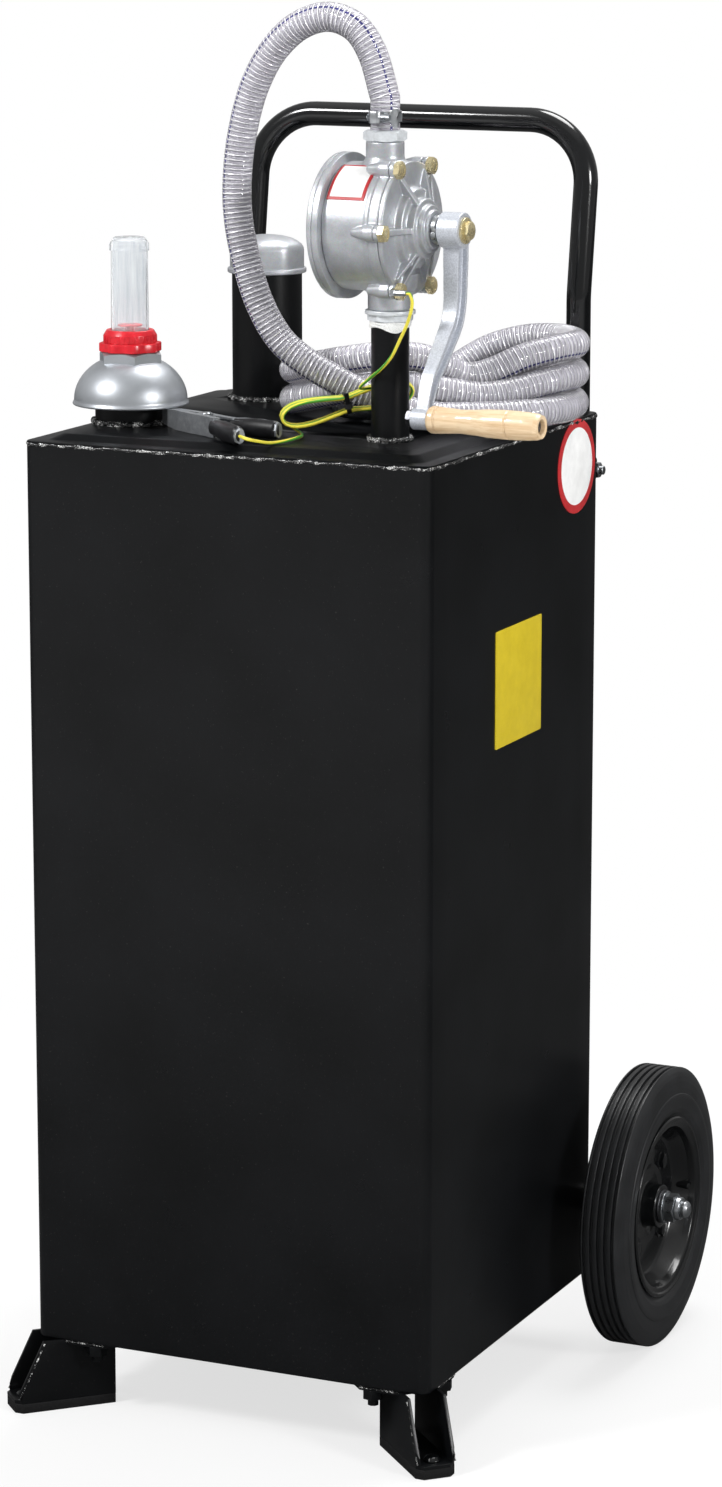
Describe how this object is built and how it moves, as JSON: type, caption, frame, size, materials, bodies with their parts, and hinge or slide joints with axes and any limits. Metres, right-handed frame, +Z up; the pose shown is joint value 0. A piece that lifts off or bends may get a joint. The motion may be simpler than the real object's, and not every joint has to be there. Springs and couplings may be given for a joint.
{
  "type": "fuel_caddy",
  "caption": "Upright steel fuel tank on two wheels with a rear push handle, a hand-cranked rotary pump, a coiled clear hose, a float gauge and an earth clamp",
  "frame": {"origin": "middle of the footprint, on the ground", "axes": "+Z up, -Y towards the front feet, +X towards the crank side; the wheel axle runs along X"},
  "size_m": [0.566, 0.55, 1.2395],
  "materials": {
    "black_powder_coat": "gloss black powder coat",
    "black_tube": "satin black paint",
    "black_rim": "semi-gloss black moulding",
    "tyre_rubber": "matt tread, satin sides",
    "pad_rubber": "matt grey",
    "silver_paint": "silver hammered paint on cast metal",
    "cast_aluminium": "satin casting",
    "zinc_steel": "bright zinc plating",
    "yellow_zinc": "yellow zinc plating on steel",
    "dark_steel": "oiled steel",
    "pale_fitting": "pale grey die casting",
    "wood": "clear lacquered pale wood",
    "red_plastic": "gloss red moulding",
    "clear_plastic": "clear moulding",
    "clear_hose": "clear hose with a wire helix",
    "wire_jacket": "green and yellow jacket",
    "clamp_steel": "zinc plated sheet with black sleeves",
    "vane": "dark fibre"
  },
  "bodies": {
    "caddy": {"tank_shell": "black_powder_coat", "tank_top": "black_powder_coat", "tank_bottom": "black_powder_coat", "gauge_neck": "black_powder_coat", "filler_pipe": "black_powder_coat", "riser_pipe": "black_powder_coat", "handle_bracket_left": "black_powder_coat", "handle_bracket_right": "black_powder_coat", "foot_bracket_left": "black_powder_coat", "foot_bracket_right": "black_powder_coat", "handle_frame": "black_tube", "axle_spacer_left": "black_tube", "axle_spacer_right": "black_tube", "foot_pad_left": "pad_rubber", "foot_pad_right": "pad_rubber", "pump_body": "silver_paint", "pump_rear_cover": "silver_paint", "pump_front_cover": "silver_paint", "gauge_cap": "silver_paint", "suction_tube": "zinc_steel", "axle": "zinc_steel", "axle_nut_left": "zinc_steel", "axle_nut_right": "zinc_steel", "handle_bolt_left": "zinc_steel", "handle_bolt_right": "zinc_steel", "packing_nut": "zinc_steel", "ring_lug": "zinc_steel", "hose_clamp": "zinc_steel", "discharge_spout": "zinc_steel", "cover_bolt_1": "yellow_zinc", "cover_bolt_2": "yellow_zinc", "cover_bolt_3": "yellow_zinc", "cover_bolt_4": "yellow_zinc", "cover_bolt_5": "yellow_zinc", "cover_bolt_6": "yellow_zinc", "riser_union": "pale_fitting", "outlet_fitting": "pale_fitting", "gauge_bezel": "red_plastic", "sight_tube": "clear_plastic", "hose_lead": "clear_hose", "hose_coil": "clear_hose", "ground_lead": "wire_jacket", "ground_hank": "wire_jacket", "clamp_jaw_near": "clamp_steel"},
    "wheel_left": {"tyre_left": "tyre_rubber", "rim_left": "black_rim", "wheel_bush_left": "dark_steel"},
    "wheel_right": {"tyre_right": "tyre_rubber", "rim_right": "black_rim", "wheel_bush_right": "dark_steel"},
    "crank": {"pump_rotor": "cast_aluminium", "pump_vane": "vane", "crank_arm": "cast_aluminium", "crank_bolt": "yellow_zinc", "grip_spindle": "dark_steel"},
    "grip": {"crank_grip": "wood"},
    "cap": {"filler_cap": "silver_paint"},
    "float": {"float_arm": "zinc_steel"},
    "indicator": {"level_indicator": "red_plastic"},
    "clamp_far": {"clamp_jaw_far": "clamp_steel"}
  },
  "joints": [
    {"name": "wheel_left_spin", "type": "hinge", "parent": "caddy", "child": "wheel_left", "pos_m": [-0.2415, 0.14501, 0.13], "axis": [1, 0, 0], "continuous": true},
    {"name": "wheel_right_spin", "type": "hinge", "parent": "caddy", "child": "wheel_right", "pos_m": [0.2415, 0.14501, 0.13], "axis": [1, 0, 0], "continuous": true},
    {"name": "crank_turn", "type": "hinge", "parent": "caddy", "child": "crank", "pos_m": [0.1096, -0.14969, 1.0541], "axis": [0.998, -0.0628, 0], "continuous": true},
    {"name": "grip_spin", "type": "hinge", "parent": "crank", "child": "grip", "pos_m": [0.22304, -0.20993, 0.9021], "axis": [0.998, -0.0628, 0], "continuous": true},
    {"name": "filler_cap_lift", "type": "slide", "parent": "caddy", "child": "cap", "axis": [0, 0, 1], "range_m": [0, 0.06]},
    {"name": "float_swing", "type": "hinge", "parent": "caddy", "child": "float", "pos_m": [-0.1438, -0.13669, 0.465], "axis": [0.5707, -0.8211, 0], "range_deg": [0, 130]},
    {"name": "indicator_rise", "type": "slide", "parent": "caddy", "child": "indicator", "axis": [0, 0, 1], "range_m": [0, 0.0601]},
    {"name": "clamp_squeeze", "type": "hinge", "parent": "caddy", "child": "clamp_far", "pos_m": [-0.051, -0.17539, 0.8828], "axis": [0, 0, -1], "range_deg": [0, 20], "stiffness_Nm_per_rad": 0.8, "springref_deg": -14.32}
  ],
  "couplings": [
    {"joint": "indicator_rise", "follows": "float_swing", "m_per_rad": 0.026444}
  ]
}
